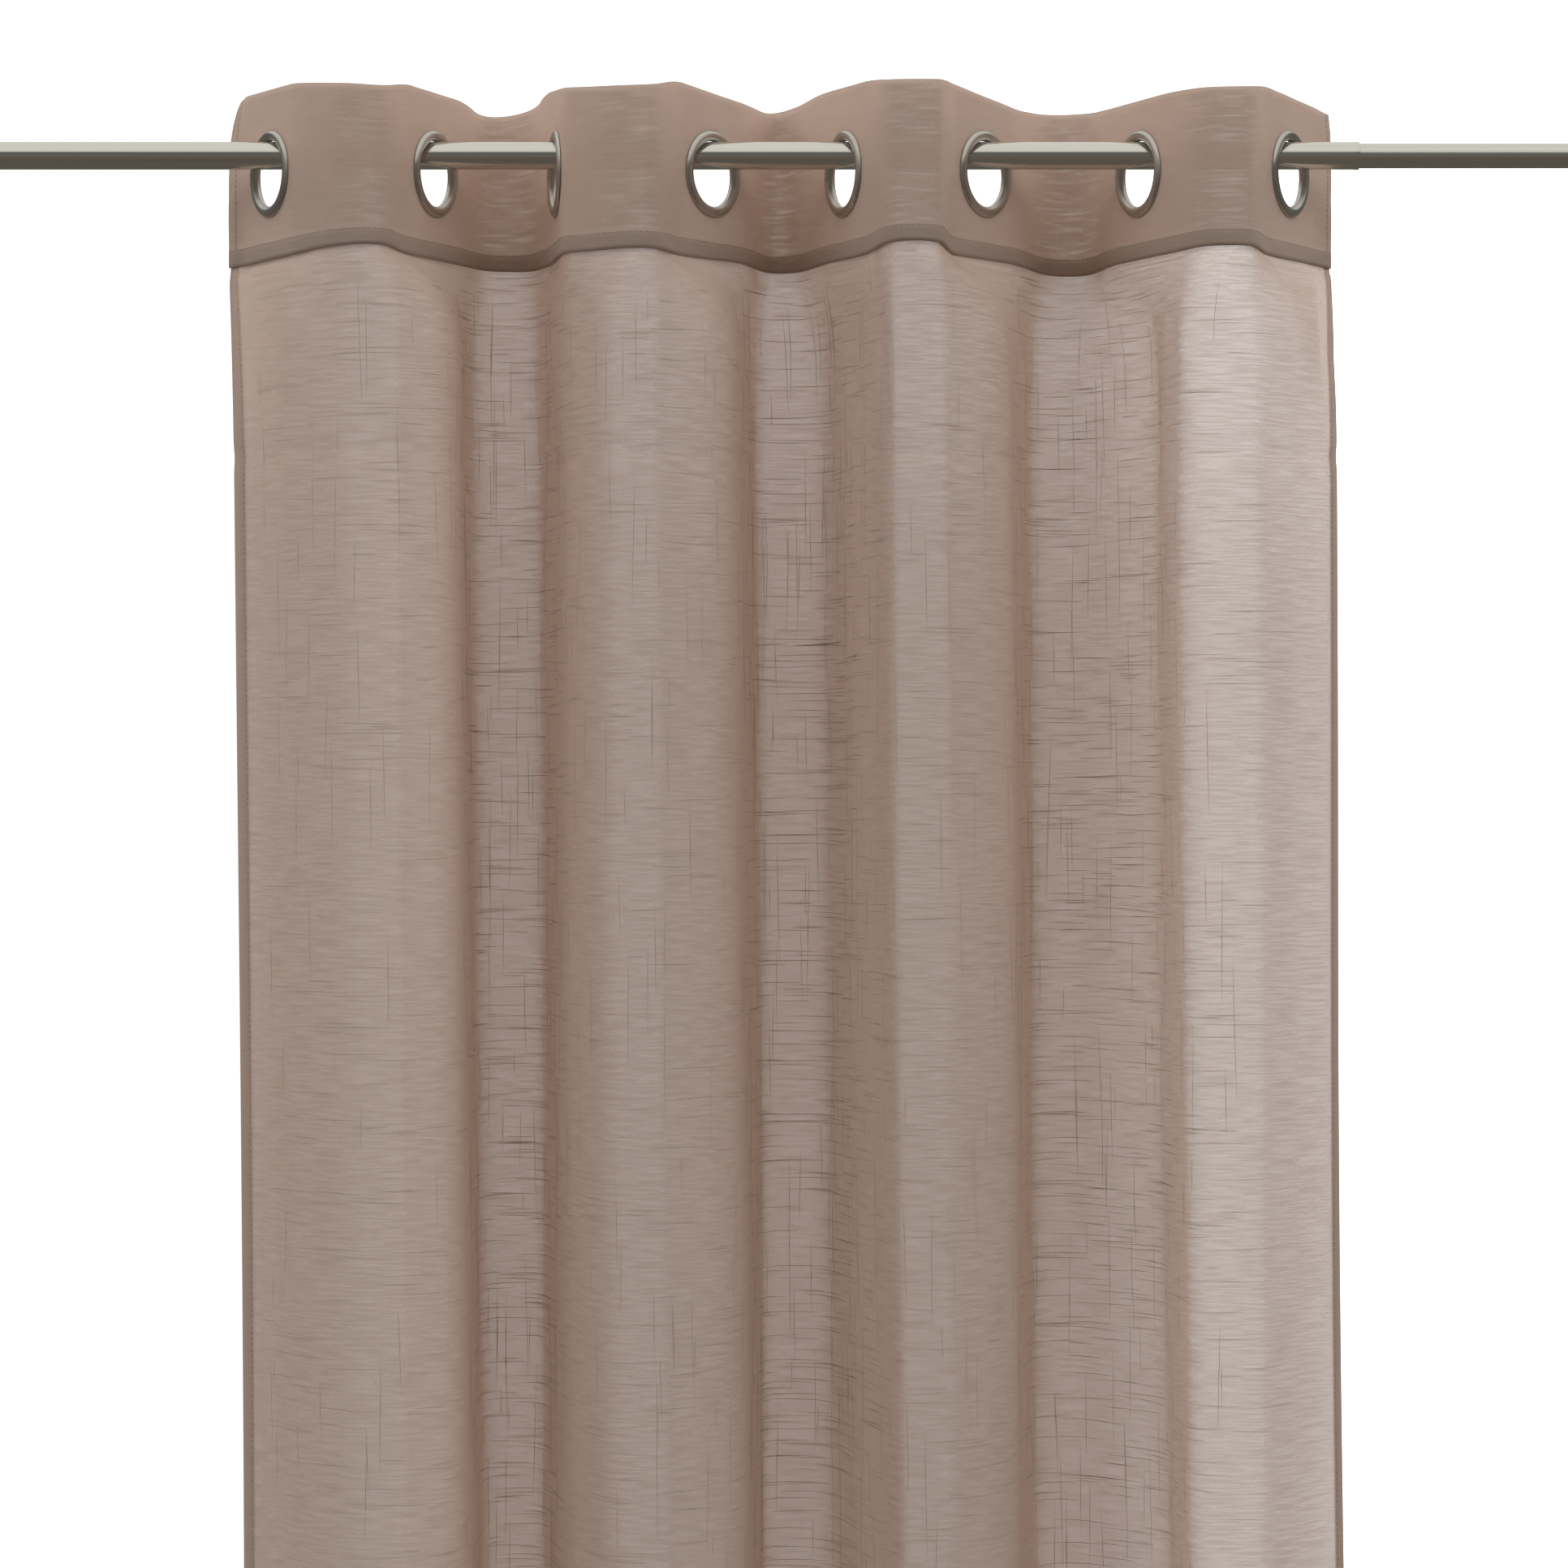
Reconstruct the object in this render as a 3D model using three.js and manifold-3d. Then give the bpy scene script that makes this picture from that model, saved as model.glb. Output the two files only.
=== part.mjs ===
// Sheer voile curtain hanging by eyelets from a telescopic curtain rod.
// Millimetres, +Z up, -Y towards the room. The origin is on the rod's axis, behind the curtain's middle.

import * as THREE from 'three';
import { mergeVertices } from 'three/addons/utils/BufferGeometryUtils.js';
import Module from 'manifold-3d';

const wasm = await Module();
wasm.setup();

// Clearance between neighbouring pieces
const GAP = 0.3;

// Rod: an outer tube on the left and an inner tube that slides in it and shows on the right
const ROD_RADIUS = 8.5;
const TUBE_WALL = 0.4;
const INNER_TUBE_RADIUS = ROD_RADIUS - TUBE_WALL - GAP;
const ROD_HALF_LENGTH = 560;
const TUBE_JOINT_X = 354;
const TUBE_OVERLAP = 200;
const LIP_LENGTH = 2;
const LIP_HEIGHT = 0.25;
const ROD_SIDES = 24;

// Plain plugs in the rod's ends
const CAP_RADIUS = 9.5;
const CAP_THICKNESS = 4;
const CAP_CHAMFER = 0.8;
const CAP_SPIGOT = 12;

// Eyelets: rings with a flange on both sides of the heading
const EYELET_HOLE_RADIUS = 20;
const EYELET_RADIUS = 27;
const EYELET_NECK_RADIUS = 22.4;
const EYELET_HALF_HEIGHT = 3.2;
const EYELET_SIDES = 22;
const EYELET_Z = ROD_RADIUS + GAP - EYELET_HOLE_RADIUS;

// Cloth: a doubled heading with a sewn seam at its lower edge, and a single drop with turned hems
const HEADING_TOP = 36;
const HEADING_HEIGHT = 100;
const SEAM_BAND = 10;
const HEADING_THICKNESS = 2;
const SEAM_THICKNESS = 2.8;
const CURTAIN_LENGTH = 2400;
const CLOTH_THICKNESS = 1.2;
const HEM_THICKNESS = 2;
const LEFT_HEM = 8;
const RIGHT_HEM = 5;
const BOTTOM_HEM = 40;
const HEM_STEP = 1;
const SEAM_Z = HEADING_TOP - HEADING_HEIGHT;
const HEM_Z = HEADING_TOP - CURTAIN_LENGTH;

// Folds: how far they stand out at the front and the back, and how they change on the way down
const CREST_Y = -70;
const TROUGH_Y = 76;
const FLANK_HALF = 36;
const FLANK_ROUNDING = 0.1;
const FOLD_ROUNDING = 0.45;
const EDGE_ROUNDING = 0.1;
const CORNER_STEPS = 3;
const SETTLE_LENGTH = 160;
const SIDE_DRIFT = 18;
const HEM_DEPTH_SHARE = 0.86;
const WANDER = 7;
const WANDER_STEP = 2.3;

// Heights, measured down from the seam, of the rows that shape the drop
const DROP_ROWS = [25, 60, 105, 160, 500, 950, 1400, 1850];

// Flanks, one row each from the left. x and turn place its eyelet and turn it from the rod at the heading.
// Further down the flank runs from (frontX, frontY) to (backX, backY). The rises lift the top edge.
const FLANKS = [
  { x: -316, turn: 59, frontX: -300, frontY: -40, backX: -327, backY: -8, frontRise: 4.3, backRise: 5 },
  { x: -215.5, turn: 65, frontX: -200, frontY: -40, backX: -200, backY: 56, frontRise: 3.4, backRise: 2.1 },
  { x: -140, turn: 80, frontX: -132, frontY: -26, backX: -152, backY: 62, frontRise: 0.5, backRise: 8.4 },
  { x: -44.5, turn: 53, frontX: -34, frontY: -36, backX: -22, backY: 56, frontRise: 6, backRise: -0.6 },
  { x: 37.5, turn: 67, frontX: 57, frontY: -42, backX: 30, backY: 58, frontRise: 5.3, backRise: 7 },
  { x: 123.5, turn: 52, frontX: 134, frontY: -34, backX: 147, backY: 28, frontRise: 4.7, backRise: -3.9 },
  { x: 219, turn: 64, frontX: 232, frontY: -28, backX: 229, backY: 12, frontRise: -1.9, backRise: -2.3 },
  { x: 311, turn: 60, frontX: 309, frontY: -46, backX: 328, backY: -28, frontRise: 2.1, backRise: -1.3 },
];

// Front folds, one row each: where the face turned to the room starts and ends, at the heading and in
// the drop, its y in the drop, and how far the top edge rises at its left and right and the seam between
const CRESTS = [
  { left: -263, right: -240, dropLeft: -263, dropRight: -233, dropY: -70,
    leftRise: -1.7, rightRise: -3.4, seamRise: 1.7 },
  { left: -98, right: -76, dropLeft: -108, dropRight: -79, dropY: -70,
    leftRise: -3.2, rightRise: -2.4, seamRise: -0.8 },
  { left: 64, right: 95, dropLeft: 64, dropRight: 95, dropY: -70,
    leftRise: 0.5, rightRise: 0.6, seamRise: 3.6 },
  { left: 253, right: 282, dropLeft: 239, dropRight: 283, dropY: -70,
    leftRise: -4, rightRise: -3.7, seamRise: 0.7 },
];

// Back folds, with the same columns
const TROUGHS = [
  { left: -190, right: -160, dropLeft: -191, dropRight: -160, dropY: 76,
    leftRise: -2.3, rightRise: 1.5, seamRise: 1.1 },
  { left: -11, right: 5, dropLeft: -16, dropRight: 18, dropY: 76,
    leftRise: 0.5, rightRise: 3.3, seamRise: 0 },
  { left: 166, right: 194, dropLeft: 155, dropRight: 184, dropY: 60,
    leftRise: -0.1, rightRise: 1.1, seamRise: -2 },
];

// The two side edges: at the top, at the seam, and further forward in the drop
const LEFT_EDGE = { topX: -340, headX: -347, headY: 46, dropX: -340, dropY: 2, rise: 3.4 };
const RIGHT_EDGE = { topX: 341, headX: 342.5, headY: 50, dropX: 336.5, dropY: -20, rise: -3.5 };

const voile = { color: 0x9c8878, roughness: 0.95, metalness: 0 };
const satinNickel = { color: 0xa8a39a, roughness: 0.35, metalness: 1 };
const capPlastic = { color: 0x8f8a82, roughness: 0.5, metalness: 0 };

function mesh(name, geometry, look) {
  const made = new THREE.Mesh(geometry, new THREE.MeshStandardMaterial(look));
  made.name = name;
  return made;
}

// Flank directions: from the left, they run in turn towards the front and towards the back
function flankAngle(index) {
  const side = index % 2 === 0 ? -1 : 1;
  return side * THREE.MathUtils.degToRad(FLANKS[index].turn);
}

// Front or back end of a flank. up goes from 0 at the seam to 1 at the top edge, and drop from 0 at the seam
// to 1 where the cloth hangs free.
function flankEnd(index, atFront, up, drop) {
  const flank = FLANKS[index];
  const angle = flankAngle(index);
  const reach = (angle < 0) === atFront ? FLANK_HALF : -FLANK_HALF;
  const rise = up * (atFront ? flank.frontRise : flank.backRise);
  const head = new THREE.Vector3(flank.x + reach * Math.cos(angle), reach * Math.sin(angle), rise);
  const hung = atFront
    ? new THREE.Vector3(flank.frontX, flank.frontY, 0)
    : new THREE.Vector3(flank.backX, flank.backY, 0);
  return head.lerp(hung, drop);
}

// The two corners of a front or back fold
function foldCorners(fold, headY, up, drop) {
  const { lerp } = THREE.MathUtils;
  const y = lerp(headY, fold.dropY, drop);
  const seamRise = fold.seamRise * (1 - drop);
  const leftX = lerp(fold.left, fold.dropLeft, drop);
  const rightX = lerp(fold.right, fold.dropRight, drop);
  const left = new THREE.Vector3(leftX, y, lerp(seamRise, fold.leftRise, up));
  const right = new THREE.Vector3(rightX, y, lerp(seamRise, fold.rightRise, up));
  return [left, right];
}

function edgeCorner(edge, up, drop) {
  const { lerp } = THREE.MathUtils;
  const headX = lerp(edge.headX, edge.topX, up);
  return new THREE.Vector3(lerp(headX, edge.dropX, drop), lerp(edge.headY, edge.dropY, drop), up * edge.rise);
}

// Corners of the cloth seen from above, from its left edge to its right one. z holds the heading's rise.
function planCorners(up, drop) {
  const corners = [edgeCorner(LEFT_EDGE, up, drop)];
  CRESTS.forEach((crest, k) => {
    const left = 2 * k;
    const right = left + 1;
    corners.push(flankEnd(left, false, up, drop), flankEnd(left, true, up, drop));
    corners.push(...foldCorners(crest, CREST_Y, up, drop));
    corners.push(flankEnd(right, true, up, drop), flankEnd(right, false, up, drop));
    if (k < TROUGHS.length) {
      corners.push(...foldCorners(TROUGHS[k], TROUGH_Y, up, drop));
    }
  });
  corners.push(edgeCorner(RIGHT_EDGE, up, drop));
  return corners;
}

// Every fourth stretch between corners is a flank, which stays straight at its eyelet
function isFlank(stretch) {
  return stretch % 4 === 1;
}

// How much of a stretch its rounded corners take at each end; the side edges stay nearly straight
function roundingShare(stretch, lastStretch, drop) {
  if (stretch === 0 || stretch === lastStretch) {
    return EDGE_ROUNDING;
  }
  return isFlank(stretch) ? THREE.MathUtils.lerp(FLANK_ROUNDING, FOLD_ROUNDING, drop) : FOLD_ROUNDING;
}

// Points where the hems end, counted from an edge towards the next corner
function hemPoints(edge, next, width) {
  const length = edge.distanceTo(next);
  return [0, width, width + HEM_STEP].map((along) => edge.clone().lerp(next, along / length));
}

// The cloth's line seen from above, with rounded corners and its hems' own points
function planLine(up, drop) {
  const corners = planCorners(up, drop);
  const last = corners.length - 1;
  const share = (stretch) => roundingShare(stretch, last - 1, drop);
  const line = hemPoints(corners[0], corners[1], LEFT_HEM);
  for (let i = 1; i < last; i += 1) {
    const start = corners[i].clone().lerp(corners[i - 1], share(i - 1));
    const end = corners[i].clone().lerp(corners[i + 1], share(i));
    const bend = new THREE.QuadraticBezierCurve3(start, corners[i], end);
    line.push(...bend.getPoints(CORNER_STEPS));
  }
  line.push(...hemPoints(corners[last], corners[last - 1], RIGHT_HEM).reverse());
  return line;
}

// One row of the cloth at a height. Below the heading it settles, drifts, flattens and wanders a little.
function clothRow(z, thickness) {
  const up = Math.max(0, z - SEAM_Z) / HEADING_HEIGHT;
  const below = Math.max(0, SEAM_Z - z);
  const settled = Math.min(1, below / SETTLE_LENGTH);
  const drop = settled * (2 - settled);
  const down = below / (SEAM_Z - HEM_Z);
  const depth = THREE.MathUtils.lerp(1, HEM_DEPTH_SHARE, down);
  const line = planLine(up, drop);
  const points = line.map((p, column) => {
    const phase = WANDER_STEP * (down + (4 * column) / line.length);
    const wander = WANDER * down * Math.sin(Math.PI * phase);
    return new THREE.Vector3(p.x + SIDE_DRIFT * down + wander, p.y * depth, z + p.z);
  });
  const hems = [0, 1, points.length - 2, points.length - 1];
  const thicknesses = points.map((p, column) =>
    hems.includes(column) ? Math.max(thickness, HEM_THICKNESS) : thickness);
  return { points, thicknesses };
}

// A row's points moved to one face of the cloth: side is 1 for the front and -1 for the back
function rowFace(row, side) {
  const last = row.points.length - 1;
  return row.points.map((point, column) => {
    const before = row.points[Math.max(0, column - 1)];
    const after = row.points[Math.min(last, column + 1)];
    const along = new THREE.Vector2(after.x - before.x, after.y - before.y).normalize();
    const reach = (side * row.thicknesses[column]) / 2;
    return new THREE.Vector3(point.x + along.y * reach, point.y - along.x * reach, point.z);
  });
}

// A closed sheet through rows of points, from the top row down
function sheetGeometry(rows) {
  const columns = rows[0].points.length;
  const faces = [1, -1].flatMap((side) => rows.map((row) => rowFace(row, side)));
  const vertices = faces.flat().flatMap((point) => point.toArray());
  const front = (row, column) => row * columns + column;
  const back = (row, column) => (rows.length + row) * columns + column;
  const index = [];
  const quad = (a, b, c, d) => index.push(a, b, d, b, c, d);
  const bottom = rows.length - 1;
  const right = columns - 1;
  for (let r = 0; r < bottom; r += 1) {
    for (let c = 0; c < right; c += 1) {
      quad(front(r, c), front(r + 1, c), front(r + 1, c + 1), front(r, c + 1));
      quad(back(r, c + 1), back(r + 1, c + 1), back(r + 1, c), back(r, c));
    }
    quad(back(r, 0), back(r + 1, 0), front(r + 1, 0), front(r, 0));
    quad(front(r, right), front(r + 1, right), back(r + 1, right), back(r, right));
  }
  for (let c = 0; c < right; c += 1) {
    quad(back(0, c), front(0, c), front(0, c + 1), back(0, c + 1));
    quad(front(bottom, c), back(bottom, c), back(bottom, c + 1), front(bottom, c + 1));
  }
  const geometry = new THREE.BufferGeometry();
  geometry.setAttribute('position', new THREE.Float32BufferAttribute(vertices, 3));
  geometry.setIndex(index);
  return geometry;
}

// A closed geometry as a solid that can be cut
function toSolid(geometry) {
  const bare = geometry.clone();
  bare.deleteAttribute('normal');
  bare.deleteAttribute('uv');
  const merged = mergeVertices(bare);
  return new wasm.Manifold(new wasm.Mesh({
    numProp: 3,
    vertProperties: new Float32Array(merged.attributes.position.array),
    triVerts: new Uint32Array(merged.index.array),
  }));
}

function fromSolid(solid) {
  const { vertProperties, triVerts } = solid.getMesh();
  const geometry = new THREE.BufferGeometry();
  geometry.setAttribute('position', new THREE.BufferAttribute(vertProperties, 3));
  geometry.setIndex(new THREE.BufferAttribute(triVerts, 1));
  geometry.computeVertexNormals();
  return geometry;
}

// A round cutter through the heading at an eyelet
function eyeletCutter(index) {
  const length = 8 * HEADING_THICKNESS;
  const radius = EYELET_NECK_RADIUS + GAP;
  const cutter = new THREE.CylinderGeometry(radius, radius, length, EYELET_SIDES);
  cutter.rotateZ(flankAngle(index));
  cutter.translate(FLANKS[index].x, 0, EYELET_Z);
  return cutter;
}

// Heading: a doubled band, thicker along its seam, with a hole for each eyelet
function heading() {
  const levels = [
    { z: HEADING_TOP, thickness: HEADING_THICKNESS },
    { z: SEAM_Z + SEAM_BAND + HEM_STEP, thickness: HEADING_THICKNESS },
    { z: SEAM_Z + SEAM_BAND, thickness: SEAM_THICKNESS },
    { z: SEAM_Z, thickness: SEAM_THICKNESS },
  ];
  const band = sheetGeometry(levels.map((level) => clothRow(level.z, level.thickness)));
  let solid = toSolid(band);
  FLANKS.forEach((flank, index) => {
    solid = solid.subtract(toSolid(eyeletCutter(index)));
  });
  return mesh('heading', fromSolid(solid), voile);
}

// Panel: the single cloth that hangs from the heading's seam, with a thicker bottom hem
function panel() {
  const levels = [
    { z: SEAM_Z - GAP, thickness: CLOTH_THICKNESS },
    ...DROP_ROWS.map((below) => ({ z: SEAM_Z - below, thickness: CLOTH_THICKNESS })),
    { z: HEM_Z + BOTTOM_HEM + HEM_STEP, thickness: CLOTH_THICKNESS },
    { z: HEM_Z + BOTTOM_HEM, thickness: HEM_THICKNESS },
    { z: HEM_Z, thickness: HEM_THICKNESS },
  ];
  const geometry = sheetGeometry(levels.map((level) => clothRow(level.z, level.thickness)));
  geometry.computeVertexNormals();
  return mesh('panel', geometry, voile);
}

// Half of an eyelet's section, from its inner waist over the rounded rim to the groove for the cloth
function eyeletHalfSection() {
  const groove = HEADING_THICKNESS / 2 + GAP;
  const middle = (EYELET_HOLE_RADIUS + EYELET_RADIUS) / 2;
  const rim = (EYELET_RADIUS - EYELET_HOLE_RADIUS) / 2;
  const rounds = [150, 105, 60].map((degrees) => {
    const angle = THREE.MathUtils.degToRad(degrees);
    return new THREE.Vector2(middle + rim * Math.cos(angle), EYELET_HALF_HEIGHT * Math.sin(angle));
  });
  return [...rounds, new THREE.Vector2(EYELET_RADIUS, groove), new THREE.Vector2(EYELET_NECK_RADIUS, groove)];
}

// Eyelet: a ring with a flange on each side and a groove that holds the heading between them
function eyelet(index) {
  const upper = eyeletHalfSection();
  const lower = upper.map((p) => new THREE.Vector2(p.x, -p.y)).reverse();
  const waist = new THREE.Vector2(EYELET_HOLE_RADIUS, 0);
  const section = [waist, ...upper, ...lower, waist.clone()].reverse();
  const ring = mesh(`eyelet_${index + 1}`, new THREE.LatheGeometry(section, EYELET_SIDES), satinNickel);
  ring.position.set(FLANKS[index].x, 0, EYELET_Z);
  ring.rotation.z = flankAngle(index);
  return ring;
}

// A round piece turned about the rod's axis, from a section of radius against place along the rod
function turned(name, section, look) {
  const geometry = new THREE.LatheGeometry(section.map(([r, x]) => new THREE.Vector2(r, x)), ROD_SIDES);
  geometry.rotateZ(-Math.PI / 2);
  return mesh(name, geometry, look);
}

// Outer tube, with a small rolled lip where the inner tube comes out
function outerTube() {
  const bore = ROD_RADIUS - TUBE_WALL;
  const lip = ROD_RADIUS + LIP_HEIGHT;
  const lipX = TUBE_JOINT_X - LIP_LENGTH;
  return turned('rod_outer_tube', [
    [bore, -ROD_HALF_LENGTH],
    [ROD_RADIUS, -ROD_HALF_LENGTH],
    [ROD_RADIUS, lipX - LIP_LENGTH],
    [lip, lipX],
    [lip, TUBE_JOINT_X - LIP_HEIGHT],
    [ROD_RADIUS, TUBE_JOINT_X],
    [bore, TUBE_JOINT_X],
    [bore, -ROD_HALF_LENGTH],
  ], satinNickel);
}

function innerTube() {
  const bore = INNER_TUBE_RADIUS - TUBE_WALL;
  const start = TUBE_JOINT_X - TUBE_OVERLAP;
  return turned('rod_inner_tube', [
    [bore, start],
    [INNER_TUBE_RADIUS, start],
    [INNER_TUBE_RADIUS, ROD_HALF_LENGTH],
    [bore, ROD_HALF_LENGTH],
    [bore, start],
  ], satinNickel);
}

// A plug with a spigot inside a tube and a flat disc outside it, for the right end of the rod
function capSection(tubeRadius) {
  const spigot = tubeRadius - TUBE_WALL - GAP;
  const seat = ROD_HALF_LENGTH + GAP;
  const face = seat + CAP_THICKNESS;
  return [
    [0, ROD_HALF_LENGTH - CAP_SPIGOT],
    [spigot, ROD_HALF_LENGTH - CAP_SPIGOT],
    [spigot, seat],
    [CAP_RADIUS, seat],
    [CAP_RADIUS, face - CAP_CHAMFER],
    [CAP_RADIUS - CAP_CHAMFER, face],
    [0, face],
  ];
}

function rightCap() {
  return turned('rod_cap_right', capSection(INNER_TUBE_RADIUS), capPlastic);
}

function leftCap() {
  const cap = turned('rod_cap_left', capSection(ROD_RADIUS), capPlastic);
  cap.rotation.z = Math.PI;
  return cap;
}

const curtain = new THREE.Group();
curtain.add(heading(), panel());
FLANKS.forEach((flank, index) => curtain.add(eyelet(index)));

const rod = new THREE.Group();
rod.add(outerTube(), innerTube(), leftCap(), rightCap());

const part = new THREE.Group();
part.add(curtain, rod);

export default part;
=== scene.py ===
"""Looks of the sheer voile curtain on its telescopic rod, in metres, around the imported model."""

import math

import bmesh
import bpy
import numpy as np
from mathutils import Matrix, Vector, noise


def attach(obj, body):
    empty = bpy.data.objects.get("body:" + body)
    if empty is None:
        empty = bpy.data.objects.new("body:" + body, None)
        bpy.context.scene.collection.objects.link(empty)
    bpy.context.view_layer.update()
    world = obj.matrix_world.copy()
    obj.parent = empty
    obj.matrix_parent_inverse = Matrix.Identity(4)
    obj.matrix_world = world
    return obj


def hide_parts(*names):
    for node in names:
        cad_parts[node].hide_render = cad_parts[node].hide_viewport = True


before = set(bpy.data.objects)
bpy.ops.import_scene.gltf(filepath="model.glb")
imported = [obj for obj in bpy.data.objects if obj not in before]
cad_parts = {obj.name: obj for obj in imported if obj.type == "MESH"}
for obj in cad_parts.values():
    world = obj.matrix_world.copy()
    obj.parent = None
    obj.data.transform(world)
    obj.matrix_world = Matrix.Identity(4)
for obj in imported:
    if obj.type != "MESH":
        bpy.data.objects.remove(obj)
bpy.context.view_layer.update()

# Rod and the plugs in its ends
GAP = 0.0003
ROD_RADIUS = 0.0085
TUBE_WALL = 0.0004
INNER_TUBE_RADIUS = ROD_RADIUS - TUBE_WALL - GAP
ROD_HALF_LENGTH = 0.56
TUBE_JOINT_X = 0.354
TUBE_OVERLAP = 0.2
LIP_LENGTH = 0.002
LIP_HEIGHT = 0.00025
CAP_RADIUS = 0.0095
CAP_THICKNESS = 0.004
CAP_ROUND = 0.0012
CAP_SPIGOT = 0.012
CAP_ROUND_DEGREES = (30, 60, 90)

# Turned pieces: sides around, sharpest edge that looks smooth in degrees, sizes that count as nothing
LATHE_SIDES = 96
SMOOTH_EDGE_DEGREES = 40
SAME_POINT = 1e-6
NO_LENGTH = 1e-7

# Eyelets
EYELET_HOLE_RADIUS = 0.02
EYELET_RADIUS = 0.027
EYELET_NECK_RADIUS = 0.0224
EYELET_HALF_HEIGHT = 0.0032
EYELET_GROOVE = 0.0011
EYELET_EDGE = 0.0003
EYELET_ARC = range(172, 20, -12)
EYELET_Z = ROD_RADIUS + GAP - EYELET_HOLE_RADIUS

# Cloth
HEADING_TOP = 0.036
HEADING_HEIGHT = 0.1
SEAM_BAND = 0.01
CURTAIN_LENGTH = 2.4
LEFT_HEM = 0.008
RIGHT_HEM = 0.005
BOTTOM_HEM = 0.04
HEM_STEP = 0.001
SEAM_Z = HEADING_TOP - HEADING_HEIGHT
HEM_Z = HEADING_TOP - CURTAIN_LENGTH
FLAT_WIDTH = 1.36
VOILE_THICKNESS = 0.0008
LAYER_STEP = 0.0003
TUCK = 0.008
TUCK_BEHIND = 0.0013
TUCK_RAMP = 0.012

# Layers of cloth that light crosses
PANEL_LAYERS = 1.0
HEADING_LAYERS = 2.0
HEM_LAYERS = 3.0
SEAM_LAYERS = 4.0

# Mesh columns of each side hem, and steps at each fold corner and along each flank
HEM_COLUMNS = 3
CORNER_STEPS = 6
PANEL_FLANK_STEPS = 1
HEADING_FLANK_STEPS = 16

# Mesh rows: depths below the seam of the panel's close and wide rows, and how many rows there are
CLOSE_ROWS_START = 0.002
CLOSE_ROWS_END = 0.25
CLOSE_ROWS = 62
WIDE_ROWS_START = 0.262
WIDE_ROWS = 96
HEADING_ROWS = 27
BAND_ROWS = 4

# Folds, as in the solids, but with tighter creases at the front and a quicker settling below the seam
CREST_Y = -0.07
TROUGH_Y = 0.076
FLANK_HALF = 0.036
FLANK_ROUNDING = 0.1
FOLD_ROUNDING = 0.45
EDGE_ROUNDING = 0.1
CREST_LEFT_ROUNDING = 0.35
CREST_RIGHT_ROUNDING = 0.25
SETTLE_LENGTH = 0.06
EDGE_SETTLE_LENGTH = 0.15
SIDE_DRIFT = 0.018
HEM_DEPTH_SHARE = 0.86
WANDER = 0.007
WANDER_STEP = 2.3
WANDER_SPREAD = 4
TOP_CORNER_POWER = 7

# The plan repeats: every fourth stretch is a flank, and each eight corners hold the two of one front fold
STRETCHES_PER_FLANK = 4
CORNERS_PER_CREST = 8
CREST_LEFT = 3
CREST_RIGHT = 4

# Flanks: x and turn from the rod in degrees at the eyelet; front x, front y, back x and back y in the drop;
# rise of the top edge at the front and at the back
FLANKS = [
    (-0.3160, 59, -0.300, -0.040, -0.327, -0.008, 0.0043, 0.0050),
    (-0.2155, 65, -0.200, -0.040, -0.200, 0.056, 0.0034, 0.0021),
    (-0.1400, 80, -0.132, -0.026, -0.152, 0.062, 0.0005, 0.0084),
    (-0.0445, 53, -0.034, -0.036, -0.022, 0.056, 0.0060, -0.0006),
    (0.0375, 67, 0.057, -0.042, 0.030, 0.058, 0.0053, 0.0070),
    (0.1235, 52, 0.134, -0.034, 0.147, 0.028, 0.0047, -0.0039),
    (0.2190, 64, 0.232, -0.028, 0.229, 0.012, -0.0019, -0.0023),
    (0.3110, 60, 0.309, -0.046, 0.328, -0.028, 0.0021, -0.0013),
]

# Front folds: left and right x of the face at the heading, the same in the drop, y in the drop, rise of the
# top edge at the left and the right, rise of the seam
CRESTS = [
    (-0.263, -0.240, -0.263, -0.233, -0.070, -0.0017, -0.0034, 0.0017),
    (-0.098, -0.076, -0.108, -0.079, -0.070, -0.0032, -0.0024, -0.0008),
    (0.064, 0.095, 0.064, 0.095, -0.070, 0.0005, 0.0006, 0.0036),
    (0.253, 0.282, 0.239, 0.283, -0.070, -0.0040, -0.0037, 0.0007),
]

# Back folds, with the same columns
TROUGHS = [
    (-0.190, -0.160, -0.191, -0.160, 0.076, -0.0023, 0.0015, 0.0011),
    (-0.011, 0.005, -0.016, 0.018, 0.076, 0.0005, 0.0033, 0.0),
    (0.166, 0.194, 0.155, 0.184, 0.060, -0.0001, 0.0011, -0.0020),
]

# Side edges: x at the top, x and y at the seam, x and y in the drop, rise of the top corner
LEFT_EDGE = (-0.340, -0.347, 0.046, -0.340, 0.002, 0.0034)
RIGHT_EDGE = (0.341, 0.3425, 0.050, 0.3365, -0.020, -0.0035)

# Small unevenness of the cloth: height, waves per metre across and down the cloth, seed
DROP_RIPPLE = (0.0016, 18, 0.9, 9.0)
FINE_RIPPLE = (0.0005, 60, 2.2, 3.0)
SEAM_GATHER = (0.0006, 130, 6, 5.0)
SEAM_WAVE = (0.0008, 22, 0, 7.0)
HEADING_RIPPLE = (0.0007, 45, 18, 2.0)
HEADING_CRUMPLE = (0.0007, 120, 70, 4.0)
FOLD_LINE_WANDER = (0.006, 6, 0, 8.0)

# Where the unevenness changes: near the seam, around the eyelets, and towards the heading's back folds
GATHER_LENGTH = 0.05
SEAM_WAVE_REACH = 0.02
EYELET_CALM = 0.03
CRUMPLE_START_Y = 0.03
CRUMPLE_FULL_Y = 0.07

# The small pucker under the seam in the middle back fold: x, z, half width, half height, how far it stands
PUCKER = (-0.001, -0.079, 0.009, 0.013, 0.004)

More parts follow.
